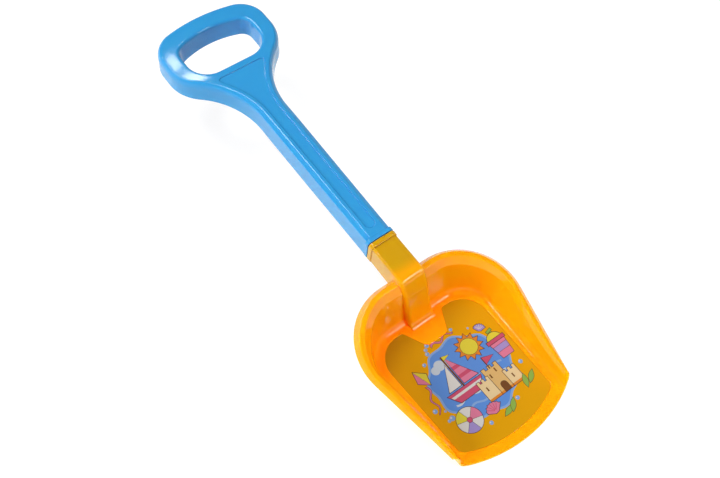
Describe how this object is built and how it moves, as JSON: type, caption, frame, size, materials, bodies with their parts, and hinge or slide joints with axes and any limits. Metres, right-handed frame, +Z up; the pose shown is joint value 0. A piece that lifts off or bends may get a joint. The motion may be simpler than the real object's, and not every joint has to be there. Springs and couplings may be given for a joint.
{
  "type": "sand shovel",
  "caption": "Children's sand shovel: a flared scoop with a rolled rim and floor label, its hollow neck plugged onto a long shaft that ends in a D-shaped grip.",
  "frame": {"origin": "under the middle of the whole shovel, at the level of the scoop floor's underside", "axes": "+X along the shovel towards the digging edge, +Y across it, +Z up, with the scoop's floor flat on z = 0"},
  "size_m": [0.5026, 0.1604, 0.0892],
  "materials": {
    "scoop_plastic": "glossy injection-moulded polypropylene, orange-yellow",
    "handle_plastic": "glossy injection-moulded polypropylene, sky blue",
    "label_film": "printed film with a glossy top coat"
  },
  "bodies": {
    "root": {"scoop": "scoop_plastic", "handle": "handle_plastic", "label": "label_film"}
  },
  "joints": []
}
